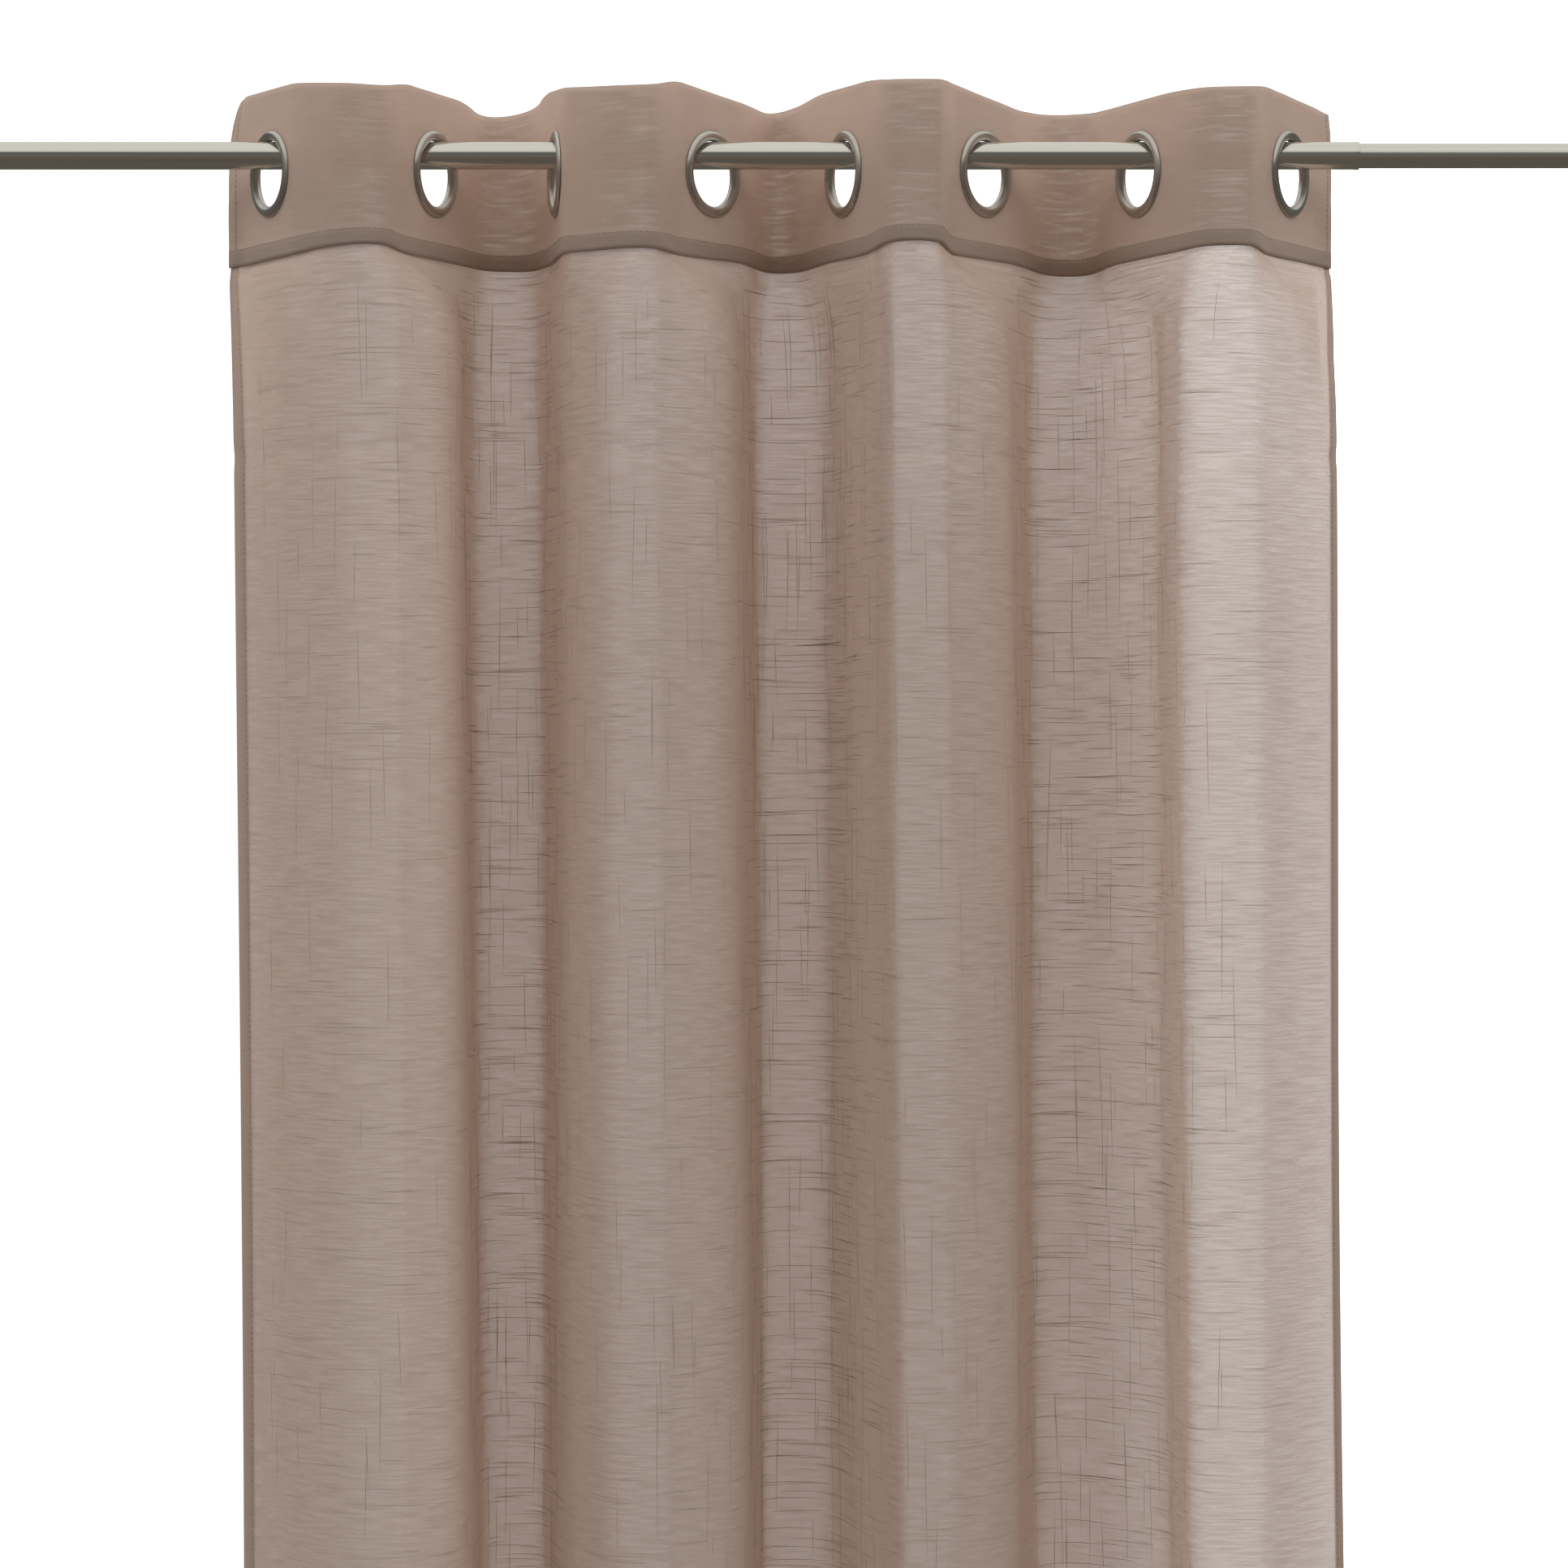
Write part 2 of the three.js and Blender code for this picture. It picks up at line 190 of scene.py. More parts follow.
# Pressed creases: plan corner, z where each starts and ends, and how far it stands out to the room
CREASES = [
    (4, -0.1, -1.3, 0.0010),
    (8, -0.1, -0.9, -0.0004),
    (10, 0.036, -0.05, 0.0012),
    (12, -0.1, -1.6, 0.0010),
    (15, -0.07, -0.6, -0.0006),
    (19, -0.1, -1.8, 0.0012),
    (20, 0.036, -0.4, 0.0014),
    (28, -0.02, -1.2, 0.0005),
]
CREASE_FADE = 0.03
CREASE_SHOULDER = 1 / 3

# The faint line across the drop where it was once folded: z, half height, depth
FOLD_LINE = (-0.186, 0.006, 0.0008)

# Stitches
STITCH_PITCH = 0.0035
STITCH_LENGTH = 0.0026
STITCH_HALF_WIDTH = 0.00028
STITCH_HALF_HEIGHT = 0.0002
STITCH_SHOULDER = 0.6

# Slubs: how many of each kind, their shortest and longest, and seeds
WEFT_SLUBS = 7000
WEFT_SLUB_LENGTH = (0.012, 0.06)
WEFT_SEED = 11
WARP_SLUBS = 2200
WARP_SLUB_LENGTH = (0.015, 0.09)
WARP_SEED = 12

# Their half width; as shares of it, thickness along them, height and how far they are sunk; and their lean,
# as a share of their length
SLUB_HALF_WIDTH = 0.00016
SLUB_TAPER = (0.2, 0.75, 1.0, 0.75, 0.2)
SLUB_HEIGHT = 0.9
SLUB_SUNK = 0.3
SLUB_LEAN = 0.03

# Where they start: clear of the cloth's edges, with only a share of them on the front folds
SLUB_LEFT_MARGIN = 0.02
SLUB_RIGHT_MARGIN = 0.08
SLUB_TOP_MARGIN = 0.004
SLUB_BOTTOM_MARGIN = 0.14
CREST_SLUB_SHARE = 0.32
SLUB_FRONT_Y = -0.06
SLUB_BACK_Y = 0.04

# Cloth finish: yarn colour, share of one face that is open straight on, share of light that yarn passes on,
# shade of thick threads and of dense layers, how a slant closes the cloth, painted light at the right (the
# share of yarn left there, and the x where the thinning starts and is full: less yarn lets more backdrop
# through), surface
YARN = (0.8, 0.645, 0.562)
OPEN_SHARE = 0.308
THROUGH_SHARE = 0.4
THREAD_SHADE = 0.3
DENSE_SHADE = 0.075
DENSE_FROM_LAYERS = 1.5
LEAST_FACING = 0.1
SLANT_POWER = 0.4
RIGHT_PAINTED_LIGHT_YARN = 0.76
PAINTED_LIGHT_FROM_X = 0.16
PAINTED_LIGHT_TO_X = 0.27
YARN_ROUGHNESS = 0.9
YARN_SPECULAR = 0.1
SHEEN_WEIGHT = 0.35
SHEEN_ROUGHNESS = 0.5
SHEEN_TINT = (1, 0.9, 0.82, 1)

# Weave: waves per metre across and down, swell of the yarn, bump
WEAVE_WAVES = (40, 1000)
WEAVE_SWELL = 0.08
WEAVE_BUMP = 0.1
WEAVE_DEPTH = 0.0003

# Pale dashes in the heading: waves per metre, noise where they start and are full, how much they open the
# cloth, and depths from the rod where the faces of the folds start and are full
DASH_WAVES = (40, 420)
DASH_NOISE = (0.4, 0.75)
DASH_OPENS = 0.27
DASH_DEPTHS = (0.045, 0.068)
DASH_LEAST = 0.1

# Solid finishes: colour, metallic, roughness, grain in waves per metre along each axis, depth of the grain
THREAD = ((0.5, 0.39, 0.32), 0.0, 0.8, (900, 900, 900), 0.0001)
SLUB_YARN = ((0.57, 0.45, 0.375), 0.0, 0.8, (900, 900, 900), 0.0001)
ROD_NICKEL = ((0.74, 0.72, 0.67), 1.0, 0.16, (2, 900, 900), 0.00005)
RING_NICKEL = ((0.6, 0.58, 0.54), 1.0, 0.3, (60, 60, 60), 0.00002)
PLUG_PLASTIC = ((0.3, 0.285, 0.265), 0.0, 0.42, (700, 700, 700), 0.00005)
PALE_FLOOR = ((0.82, 0.82, 0.81), 0.0, 0.6, (30, 30, 30), 0.0005)

# What grain does to them: middle range of the noise, and tones and shares of roughness at its two ends
MIDDLE_NOISE = (0.3, 0.7)
GRAIN_TONES = (0.94, 1.04)
GRAIN_ROUGHNESS = (0.75, 1.4)
GRAIN_DETAIL = 3
GRAIN_BUMP = 0.15

# Light of the room: places from straight down, 0, to straight up, 1, and colours
ROOM_STOPS = [
    (0.3, (0.12, 0.106, 0.09)),
    (0.45, (0.155, 0.142, 0.125)),
    (0.56, (0.15, 0.146, 0.142)),
    (0.6, (0.11, 0.11, 0.107)),
    (0.68, (0.14, 0.14, 0.136)),
    (0.74, (0.76, 0.75, 0.71)),
    (0.8, (0.8, 0.79, 0.75)),
]

# Backdrop: its light, and what is added to the right, along x, and at the top, along z. Each row has the
# start and the end of a change and the values there; the last is the share of the top's light, along x
BACKDROP_LIGHT = 1.03
BACKDROP_MIDDLE = (0.05, 0.1, 0, 0.4)
BACKDROP_RIGHT = (0.1, 0.125, 0, 0.4)
BACKDROP_TOP = (0.02, 0.11, 0, 1)
BACKDROP_TOP_SHARE = (-0.1, 0.05, 0.2, 0.55)

# Lights: place on the right side, and power; all are square and aim at one place. Most bounces of light
FRONT_LIGHT = ((1.7, -1.3, 1.1), 11)
BACK_LIGHT = ((1.9, 1.3, 0.8), 12)
LIGHT_SIZE = 1.2
LIGHT_TARGET = (0, 0, 0.1)
MOST_BOUNCES = 4

# Floor, a little below the hem
FLOOR_REACH = 4.0
FLOOR_Z = HEM_Z - 0.012

# Camera: level, straight in front, at the height of the photograph's middle
IMAGE_SIDE = 1932
CAMERA_DISTANCE = 2.8
CAMERA_Z = -0.387
FOCAL_PIXELS = 5600
SENSOR = 36.0


def mix(a, b, share):
    return a + (b - a) * share


def smooth(x):
    x = min(1.0, max(0.0, x))
    return x * x * (3 - 2 * x)


def ramp(values, low, high):
    """0 up to low, 1 from high on, and even between them."""
    return np.clip((values - low) / (high - low), 0, 1)


# The cloth's plan

def flank_angle(index):
    side = -1 if index % 2 == 0 else 1
    return side * math.radians(FLANKS[index][1])


def flank_end(index, at_front, up, drop):
    """Front or back end of a flank; up is 1 at the top edge and 0 at the seam, drop is 1 far below it."""
    x, _, front_x, front_y, back_x, back_y, front_rise, back_rise = FLANKS[index]
    angle = flank_angle(index)
    reach = FLANK_HALF if (angle < 0) == at_front else -FLANK_HALF
    rise = up * (front_rise if at_front else back_rise)
    head = np.array([x + reach * math.cos(angle), reach * math.sin(angle), rise])
    hung = np.array([front_x, front_y, 0.0] if at_front else [back_x, back_y, 0.0])
    return mix(head, hung, drop)


def fold_corners(fold, head_y, up, drop):
    left, right, drop_left, drop_right, drop_y, left_rise, right_rise, seam_rise = fold
    y = mix(head_y, drop_y, drop)
    seam = seam_rise * (1 - drop)
    left_corner = np.array([mix(left, drop_left, drop), y, mix(seam, left_rise, up)])
    right_corner = np.array([mix(right, drop_right, drop), y, mix(seam, right_rise, up)])
    return [left_corner, right_corner]


def edge_corner(edge, up, drop):
    top_x, head_x, head_y, drop_x, drop_y, rise = edge
    x = mix(mix(head_x, top_x, up ** TOP_CORNER_POWER), drop_x, drop)
    return np.array([x, mix(head_y, drop_y, drop), rise * up])


def plan_corners(up, drop, edge_drop):
    """Corners of the cloth seen from above, from its left edge to its right one; z is the heading's rise."""
    last = len(CRESTS) - 1
    corners = [edge_corner(LEFT_EDGE, up, edge_drop)]
    for k, crest in enumerate(CRESTS):
        left, right = 2 * k, 2 * k + 1
        corners.append(flank_end(left, False, up, edge_drop if k == 0 else drop))
        corners.append(flank_end(left, True, up, drop))
        corners += fold_corners(crest, CREST_Y, up, drop)
        corners.append(flank_end(right, True, up, drop))
        corners.append(flank_end(right, False, up, edge_drop if k == last else drop))
        if k < last:
            corners += fold_corners(TROUGHS[k], TROUGH_Y, up, drop)
    corners.append(edge_corner(RIGHT_EDGE, up, edge_drop))
    return corners


def is_flank(stretch):
    return stretch % STRETCHES_PER_FLANK == 1


def rounding_share(corner, stretch, last_stretch, drop):
    """How much of a stretch the rounding of one of its corners takes; the front creases are the tightest."""
    if stretch in (0, last_stretch):
        return EDGE_ROUNDING
    if is_flank(stretch):
        return mix(FLANK_ROUNDING, FOLD_ROUNDING, drop)
    if corner % CORNERS_PER_CREST == CREST_LEFT:
        return mix(FOLD_ROUNDING, CREST_LEFT_ROUNDING, drop)
    if corner % CORNERS_PER_CREST == CREST_RIGHT:
        return mix(FOLD_ROUNDING, CREST_RIGHT_ROUNDING, drop)
    return FOLD_ROUNDING


def hem_points(edge, following, width):
    length = np.linalg.norm(following - edge)
    return [mix(edge, following, along / length) for along in (0, width, width + HEM_STEP)]


def plan_line(up, drop, edge_drop, flank_steps):
    """The cloth's line seen from above, with rounded corners, extra points on the flanks and its hems."""
    corners = plan_corners(up, drop, edge_drop)
    last = len(corners) - 1
    line = hem_points(corners[0], corners[1], LEFT_HEM)
    for i in range(1, last):
        start = mix(corners[i], corners[i - 1], rounding_share(i, i - 1, last - 1, drop))
        end = mix(corners[i], corners[i + 1], rounding_share(i, i, last - 1, drop))
        if is_flank(i - 1):
            line += [mix(line[-1], start, (k + 1) / (flank_steps + 1)) for k in range(flank_steps)]
        for k in range(CORNER_STEPS + 1):
            t = k / CORNER_STEPS
            line.append((1 - t) ** 2 * start + 2 * t * (1 - t) * corners[i] + t * t * end)
    line += hem_points(corners[last], corners[last - 1], RIGHT_HEM)[::-1]
    return np.array(line)


def settled_share(below, length):
    """How far the folds have settled at a depth below the seam, quickly at first."""
    share = min(1.0, below / length)
    return share * (2 - share)


def cloth_row(z, flank_steps):
    """One row of the cloth at a height, as points from left to right."""
    up = max(0.0, z - SEAM_Z) / HEADING_HEIGHT
    below = max(0.0, SEAM_Z - z)
    down = below / (SEAM_Z - HEM_Z)
    drop = settled_share(below, SETTLE_LENGTH)
    line = plan_line(up, drop, settled_share(below, EDGE_SETTLE_LENGTH), flank_steps)
    column = np.arange(len(line)) / len(line)
    wander = WANDER * down * np.sin(np.pi * WANDER_STEP * (down + WANDER_SPREAD * column))
    line[:, 0] += SIDE_DRIFT * down + wander
    line[:, 1] *= mix(1, HEM_DEPTH_SHARE, down)
    line[:, 2] += z
    return line


def arc_lengths(line):
    steps = np.linalg.norm(np.diff(line, axis=0), axis=1)
    return np.concatenate([[0.0], np.cumsum(steps)])


def plan_normals(line):
    """Unit normals in plan, towards the room."""
    along = np.gradient(line[:, :2], axis=0)
    along /= np.linalg.norm(along, axis=1)[:, None]
    return np.stack([along[:, 1], -along[:, 0], np.zeros(len(line))], axis=1)


def ripple(lengths, z, kind):
    """Smooth uneven heights along a row, for one kind of unevenness."""
    height, across, down, seed = kind
    return height * np.array([noise.noise(Vector((across * s, down * z, seed))) for s in lengths])


# Meshes

def new_mesh(name, points, faces):
    data = bpy.data.meshes.new(name)
    data.from_pydata([tuple(p) for p in points], [], faces)
    data.polygons.foreach_set("use_smooth", np.ones(len(data.polygons), dtype=bool))
    obj = bpy.data.objects.new(name, data)
    bpy.context.scene.collection.objects.link(obj)
    return obj


def layer_lift(layers):
    """Half the thickness of layers of cloth."""
    return (VOILE_THICKNESS + (layers - 1) * LAYER_STEP) / 2


def sheet_faces(rows, columns, keep):
    """Faces of a grid's front points, of as many back points after them, and of a rim around every edge."""
    size = rows * columns
    faces = []
    rim = {}
    for r in range(rows - 1):
        for c in range(columns - 1):
            if keep is not None and not keep[r, c]:
                continue
            a = r * columns + c
            ring = (a, a + columns, a + columns + 1, a + 1)
            faces.append(ring)
            faces.append(tuple(size + v for v in reversed(ring)))
            for edge in zip(ring, ring[1:] + ring[:1]):
                if rim.pop(edge[::-1], None) is None:
                    rim[edge] = True
    return faces + [(b, a, size + a, size + b) for a, b in rim]


class Sheet:
    """Rows of cloth from the top down: places, heights, and layers of cloth."""

    def __init__(self):
        self.rows = []
        self.levels = []
        self.layers = []

    def add(self, row, z, layers):
        self.rows.append(row)
        self.levels.append(z)
        self.layers.append(layers)

    def across(self):
        """Place of each column across the flat cloth."""
        lengths = arc_lengths(self.rows[-1])
        return lengths * FLAT_WIDTH / lengths[-1]

    def flat_places(self):
        """Places of all points on the flat cloth, in metres from its top left corner."""
        down = HEADING_TOP - np.array(self.levels)
        return np.stack(np.meshgrid(self.across(), down), axis=2).reshape(-1, 2)

    def grid_places(self, flat):
        """Rows and columns of places on the flat cloth."""
        columns = np.interp(flat[..., 0], self.across(), np.arange(len(self.rows[0])))
        rows = np.interp(flat[..., 1] - HEADING_TOP, -np.array(self.levels), np.arange(len(self.levels)))
        return rows, columns

    def make(self, name, keep, material):
        """A closed thin sheet through the rows, with a rim around its outline and around any hole."""
        rows = np.array(self.rows)
        layers = np.array(self.layers)
        outward = np.stack([plan_normals(row) for row in rows]) * layer_lift(layers)[..., None]
        points = np.concatenate([(rows + outward).reshape(-1, 3), (rows - outward).reshape(-1, 3)])
        obj = new_mesh(name, points, sheet_faces(*layers.shape, keep))
        flat = self.flat_places()
        mark_cloth(obj, np.concatenate([flat, flat]), np.concatenate([layers.ravel(), layers.ravel()]))
        remove_loose(obj)
        obj.data.materials.append(material)
        return obj


def mark_cloth(obj, flat, layers):
    """Keeps each point's place on the flat cloth as a UV map and its layers of cloth as an attribute."""
    data = obj.data
    corners = np.zeros(len(data.loops), dtype=np.int32)
    data.loops.foreach_get("vertex_index", corners)
    uv = data.uv_layers.new(name="cloth")
    uv.data.foreach_set("uv", flat[corners].astype(np.float32).ravel())
    attribute = data.attributes.new("layers", "FLOAT", "POINT")
    attribute.data.foreach_set("value", layers.astype(np.float32))


def remove_loose(obj):
    """Takes away points that no face uses."""
    bm = bmesh.new()
    bm.from_mesh(obj.data)
    loose = [v for v in bm.verts if not v.link_faces]
    bmesh.ops.delete(bm, geom=loose, context="VERTS")
    bm.to_mesh(obj.data)
    bm.free()


def row_layers(row, layers):
    """Layers along a row, with the side hems turned twice."""
    values = np.full(len(row), layers)
    values[[0, 1, -2, -1]] = max(layers, HEM_LAYERS)
    return values


def pucker_height(row, z):
    x, height, half_width, half_height, stands_out = PUCKER
    across = ((row[:, 0] - x) / half_width) ** 2
    down = ((z - height) / half_height) ** 2
    return stands_out * np.exp(-across - down)


def corner_column(corner, flank_steps):
    """The column in the middle of a rounded corner of the plan."""
    flanks = sum(is_flank(stretch) for stretch in range(corner))
    before = HEM_COLUMNS + (corner - 1) * (CORNER_STEPS + 1) + flanks * flank_steps
    return before + CORNER_STEPS // 2


def crease_height(row, z, flank_steps):
    """How far the pressed creases stand out at one height, one column to each side of their middle."""
    height = np.zeros(len(row))
    for corner, top, bottom, stands_out in CREASES:
        share = smooth((top - z) / CREASE_FADE + 1) * smooth((z - bottom) / CREASE_FADE + 1)
        column = corner_column(corner, flank_steps)
        height[column] += stands_out * share
        height[[column - 1, column + 1]] += stands_out * share * CREASE_SHOULDER
    return height


def fold_line_depth(lengths, z):
    middle, half_height, depth = FOLD_LINE
    place = z - middle + ripple(lengths, 0, FOLD_LINE_WANDER)
    return depth * np.exp(-(place / half_height) ** 2)


def panel_sheet():
    """The single drop, tucked up behind the heading's seam, with side hems and a bottom hem."""
    tuck = [SEAM_Z + TUCK, SEAM_Z + TUCK / 2, SEAM_Z]
    upper = list(SEAM_Z - np.linspace(CLOSE_ROWS_START, CLOSE_ROWS_END, CLOSE_ROWS))
    lower = list(np.linspace(SEAM_Z - WIDE_ROWS_START, HEM_Z + BOTTOM_HEM + HEM_STEP, WIDE_ROWS))
    hem = [HEM_Z + BOTTOM_HEM, HEM_Z + BOTTOM_HEM / 2, HEM_Z]
    sheet = Sheet()
    for z in tuck + upper + lower + hem:
        row = cloth_row(z, PANEL_FLANK_STEPS)
        lengths = arc_lengths(row)
        below = max(0.0, SEAM_Z - z)
        fade = smooth(below / GATHER_LENGTH)
        near_seam = math.exp(-below / GATHER_LENGTH)
        height = fade * ripple(lengths, z, DROP_RIPPLE)
        height += fade * ripple(lengths, z, FINE_RIPPLE)
        height += near_seam * ripple(lengths, z, SEAM_GATHER)
        height += pucker_height(row, z) + crease_height(row, z, PANEL_FLANK_STEPS)
        height -= fold_line_depth(lengths, z)
        height -= TUCK_BEHIND * smooth((z - SEAM_Z + TUCK_RAMP) / TUCK_RAMP)
        row += plan_normals(row) * height[:, None]
        row[:, 2] += near_seam * ripple(lengths, 0, SEAM_WAVE)
        is_hem = z <= HEM_Z + BOTTOM_HEM
        sheet.add(row, z, row_layers(row, HEM_LAYERS if is_hem else PANEL_LAYERS))
    return sheet


def heading_calm(row):
    """0 at the eyelets, where the heading lies flat, and 1 away from them."""
    calm = np.ones(len(row))
    for flank in FLANKS:
        away = np.linalg.norm(row - np.array([flank[0], 0.0, EYELET_Z]), axis=1)
        calm *= ramp(away, EYELET_CALM, 2 * EYELET_CALM)
    return calm


def heading_sheet():
    """The doubled band with its seam, a little crumpled in the back folds."""
    levels = list(np.linspace(HEADING_TOP, SEAM_Z + SEAM_BAND + HEM_STEP, HEADING_ROWS))
    levels += [SEAM_Z + SEAM_BAND * k / BAND_ROWS for k in reversed(range(BAND_ROWS + 1))]
    sheet = Sheet()
    for z in levels:
        row = cloth_row(z, HEADING_FLANK_STEPS)
        lengths = arc_lengths(row)
        calm = heading_calm(row)
        in_back_fold = ramp(row[:, 1], CRUMPLE_START_Y, CRUMPLE_FULL_Y)
        height = ripple(lengths, z, HEADING_RIPPLE)
        height += in_back_fold * ripple(lengths, z, HEADING_CRUMPLE)
        height += crease_height(row, z, HEADING_FLANK_STEPS)
        row += plan_normals(row) * (height * calm)[:, None]
        near_seam = math.exp(-(z - SEAM_Z) / SEAM_WAVE_REACH)
        row[:, 2] += near_seam * ripple(lengths, 0, SEAM_WAVE)
        in_band = z <= SEAM_Z + SEAM_BAND
        sheet.add(row, z, row_layers(row, SEAM_LAYERS if in_band else HEADING_LAYERS))
    return sheet


def cut_eyelet_holes(rows):
    """Marks the cells to keep and draws the points around each hole onto its circle."""
    grid = np.array(rows)
    keep = np.ones(grid.shape[:2], dtype=bool)
    radius = EYELET_NECK_RADIUS + GAP
    for flank in FLANKS:
        centre = np.array([flank[0], 0.0, EYELET_Z])
        away = grid - centre
        distance = np.linalg.norm(away, axis=2)
        inside = distance < radius
        cells = (inside[:-1, :-1], inside[1:, :-1], inside[1:, 1:], inside[:-1, 1:])
        count = sum(cell.astype(int) for cell in cells)
        keep[:-1, :-1][count == 4] = False
        rim = np.zeros_like(inside)
        for r, c in zip(*np.nonzero((count > 0) & (count < 4))):
            for corner in ((r, c), (r + 1, c), (r + 1, c + 1), (r, c + 1)):
                rim[corner] |= inside[corner]
        on_circle = centre + away * (radius / np.maximum(distance, SAME_POINT))[..., None]
        grid[rim] = on_circle[rim]
    return list(grid), keep


# Stitches

def stitch_run(points, normals, lift):
    """Places of stitches along a line on the cloth: middle, direction and outward normal of each."""
    lengths = arc_lengths(points)
    at = np.arange(STITCH_PITCH / 2, lengths[-1], STITCH_PITCH)

    def sample(values):
        return np.stack([np.interp(at, lengths, values[:, k]) for k in range(3)], axis=1)

    along = sample(np.gradient(points, axis=0))
    along /= np.linalg.norm(along, axis=1)[:, None]
    out = sample(normals)
    out -= along * np.sum(out * along, axis=1)[:, None]
    out /= np.linalg.norm(out, axis=1)[:, None]
    return sample(points) + out * lift, along, out


def stitch_mesh(name, runs, material):
    """One mesh of small pointed stitches, each with eight points around its middle and one at each end."""
    middle, along, out = (np.concatenate([run[k] for run in runs]) for k in range(3))
    side = np.cross(along, out)
    half = STITCH_LENGTH / 2
    shape = [(-half, 0, 0)]
    for place in (-STITCH_SHOULDER * half, STITCH_SHOULDER * half):
        shape += [(place, STITCH_HALF_WIDTH, 0), (place, 0, STITCH_HALF_HEIGHT)]
        shape += [(place, -STITCH_HALF_WIDTH, 0), (place, 0, -STITCH_HALF_HEIGHT)]
    shape.append((half, 0, 0))
    points = np.stack([middle + along * a + side * b + out * c for a, b, c in shape], axis=1)
    ring = [(k, (k + 1) % 4) for k in range(4)]
    one = [(0, 1 + b, 1 + a) for a, b in ring]
    one += [(1 + a, 1 + b, 5 + b, 5 + a) for a, b in ring]
    one += [(5 + a, 5 + b, 9) for a, b in ring]
    faces = [tuple(v + len(shape) * k for v in face) for k in range(len(points)) for face in one]
    obj = new_mesh(name, points.reshape(-1, 3), faces)
    obj.data.materials.append(material)
    return obj


def column_run(sheet, column, lift):
    """Stitches down one column of a sheet."""
    points = np.array([row[column] for row in sheet.rows])
    normals = np.array([plan_normals(row)[column] for row in sheet.rows])
    return stitch_run(points, normals, lift)


def row_run(sheet, index, lift):
    """Stitches along one row of a sheet."""
    return stitch_run(sheet.rows[index], plan_normals(sheet.rows[index]), lift)


# Slubs, the thick places in the yarn

def slub_lines(sheet, count, lengths, seed, is_weft):
    """Points of slubs, as places across and down the flat cloth, most of them in the back folds."""
    chance = np.random.default_rng(seed)
    grid = np.array(sheet.rows)
    lines = []
    while len(lines) < count:
        length = chance.uniform(*lengths)
        across = chance.uniform(SLUB_LEFT_MARGIN, FLAT_WIDTH - SLUB_RIGHT_MARGIN)
        down = chance.uniform(HEADING_HEIGHT + SLUB_TOP_MARGIN, CURTAIN_LENGTH - SLUB_BOTTOM_MARGIN)
        start = np.array([across, down])
        row, column = (int(place) for place in sheet.grid_places(start))
        wanted = max(CREST_SLUB_SHARE, ramp(grid[row, column, 1], SLUB_FRONT_Y, SLUB_BACK_Y))
        if chance.uniform() > wanted:
            continue
        lean = chance.uniform(-SLUB_LEAN, SLUB_LEAN) * length
        step = np.array([length, lean]) if is_weft else np.array([lean, length])
        lines.append(start + np.linspace(0, 1, len(SLUB_TAPER))[:, None] * step)
    return np.array(lines)


def on_sheet(values, rows, columns):
    """Values on a grid of rows and columns, read between them."""
    r = np.clip(np.floor(rows).astype(int), 0, values.shape[0] - 2)
    c = np.clip(np.floor(columns).astype(int), 0, values.shape[1] - 2)
    down = (rows - r)[..., None]
    right = (columns - c)[..., None]
    upper = mix(values[r, c], values[r, c + 1], right)
    lower = mix(values[r + 1, c], values[r + 1, c + 1], right)
    return mix(upper, lower, down)


def slub_mesh(name, sheet, lines, material):
    """One mesh of tapered three-sided threads, sunk a little into the front of a sheet."""
    rows, columns = sheet.grid_places(lines)
    normals = on_sheet(np.stack([plan_normals(row) for row in sheet.rows]), rows, columns)
    middle = on_sheet(np.array(sheet.rows), rows, columns) + normals * layer_lift(PANEL_LAYERS)
    along = np.gradient(middle, axis=1)
    side = np.cross(along, normals)
    side /= np.linalg.norm(side, axis=2)[..., None]
    taper = np.array(SLUB_TAPER)[None, :, None] * SLUB_HALF_WIDTH
    around = [side - SLUB_SUNK * normals, SLUB_HEIGHT * normals, -side - SLUB_SUNK * normals]
    points = np.stack([middle + offset * taper for offset in around], axis=2)
    sides = len(around)
    size = sides * len(SLUB_TAPER)
    one = [(0, 1, 2), (size - 1, size - 2, size - 3)]
    for ring in range(0, size - sides, sides):
        for k in range(sides):
            a, b = ring + k, ring + (k + 1) % sides
            one.append((a, a + sides, b + sides, b))
    faces = [tuple(v + size * k for v in face) for k in range(len(lines)) for face in one]
    obj = new_mesh(name, points.reshape(-1, 3), faces)
    obj.data.materials.append(material)
    return obj


# Metal and plastic

def lathe(name, section, material):
    """A section of radius against place along +Z, closed on itself, turned about Z."""
    ring = len(section)
    turns = [2 * math.pi * k / LATHE_SIDES for k in range(LATHE_SIDES)]
    points = [(r * math.cos(turn), r * math.sin(turn), h) for turn in turns for r, h in section]
    faces = []
    for k in range(LATHE_SIDES):
        here, there = k * ring, (k + 1) % LATHE_SIDES * ring
        for j in range(ring):
            following = (j + 1) % ring
            faces.append((here + j, there + j, there + following, here + following))
    obj = new_mesh(name, points, faces)
    tidy_lathe(obj)
    obj.data.materials.append(material)
    return obj


def tidy_lathe(obj):
    """Joins the points on the axis, drops empty faces, turns normals outward and keeps sharp edges sharp."""
    bm = bmesh.new()
    bm.from_mesh(obj.data)
    bmesh.ops.remove_doubles(bm, verts=bm.verts, dist=SAME_POINT)
    bmesh.ops.dissolve_degenerate(bm, edges=bm.edges, dist=NO_LENGTH)
    bmesh.ops.recalc_face_normals(bm, faces=bm.faces)
    for edge in bm.edges:
        edge.smooth = edge.calc_face_angle(0) < math.radians(SMOOTH_EDGE_DEGREES)
    bm.to_mesh(obj.data)
    bm.free()


